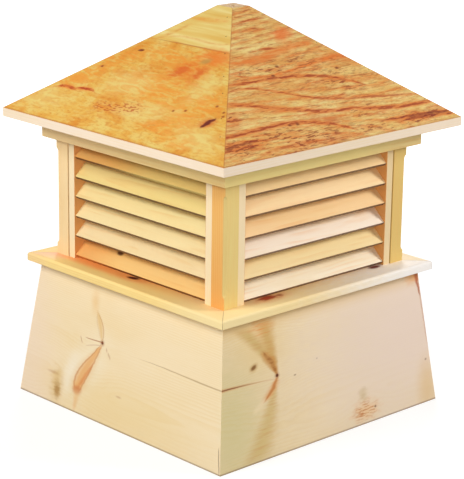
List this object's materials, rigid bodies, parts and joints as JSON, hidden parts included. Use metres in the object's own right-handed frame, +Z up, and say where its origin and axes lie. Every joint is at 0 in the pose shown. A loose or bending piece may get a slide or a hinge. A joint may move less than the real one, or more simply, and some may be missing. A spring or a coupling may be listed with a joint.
{
  "type": "louvered wooden roof cupola",
  "caption": "Square roof cupola of bare pine: battered skirt, moulded sill, corner posts, louvres on all sides and a hipped plywood roof.",
  "frame": {"origin": "centre of the skirt's bottom rim, on the plane that the rim rests on", "axes": "+Z up, -Y the front, +X the right-hand side; the four sides are alike"},
  "size_m": [0.699, 0.699, 0.8783],
  "materials": {
    "skirt_pine": "bare planed pine, pale cream with brown knots and faint growth rings",
    "trim_pine": "bare planed pine trim, straight grained and warm",
    "post_pine": "bare planed pine, straight vertical grain",
    "louvre_pine": "bare thin pine stock",
    "roof_plywood": "bare softwood plywood, rotary cut, with orange and brown figure",
    "block_pine": "bare pine block, end grain up"
  },
  "bodies": {
    "root": {"bed_mould_back": "trim_pine", "bed_mould_front": "trim_pine", "bed_mould_left": "trim_pine", "bed_mould_right": "trim_pine", "corner_post_back_left": "post_pine", "corner_post_front_right": "post_pine", "corner_post_left_front": "post_pine", "corner_post_right_back": "post_pine", "eave_board_back": "trim_pine", "eave_board_front": "trim_pine", "eave_board_left": "trim_pine", "eave_board_right": "trim_pine", "louvre_slats_back": "louvre_pine", "louvre_slats_front": "louvre_pine", "louvre_slats_left": "louvre_pine", "louvre_slats_right": "louvre_pine", "louvre_stile_back_near_left": "louvre_pine", "louvre_stile_back_near_right": "louvre_pine", "louvre_stile_front_near_left": "louvre_pine", "louvre_stile_front_near_right": "louvre_pine", "louvre_stile_left_near_back": "louvre_pine", "louvre_stile_left_near_front": "louvre_pine", "louvre_stile_right_near_back": "louvre_pine", "louvre_stile_right_near_front": "louvre_pine", "mounting_block": "block_pine", "roof_panel_back": "roof_plywood", "roof_panel_front": "roof_plywood", "roof_panel_left": "roof_plywood", "roof_panel_right": "roof_plywood", "sill_board_back": "trim_pine", "sill_board_front": "trim_pine", "sill_board_left": "trim_pine", "sill_board_right": "trim_pine", "skirt_lower_board_back": "skirt_pine", "skirt_lower_board_front": "skirt_pine", "skirt_lower_board_left": "skirt_pine", "skirt_lower_board_right": "skirt_pine", "skirt_upper_board_back": "skirt_pine", "skirt_upper_board_front": "skirt_pine", "skirt_upper_board_left": "skirt_pine", "skirt_upper_board_right": "skirt_pine"}
  },
  "joints": []
}
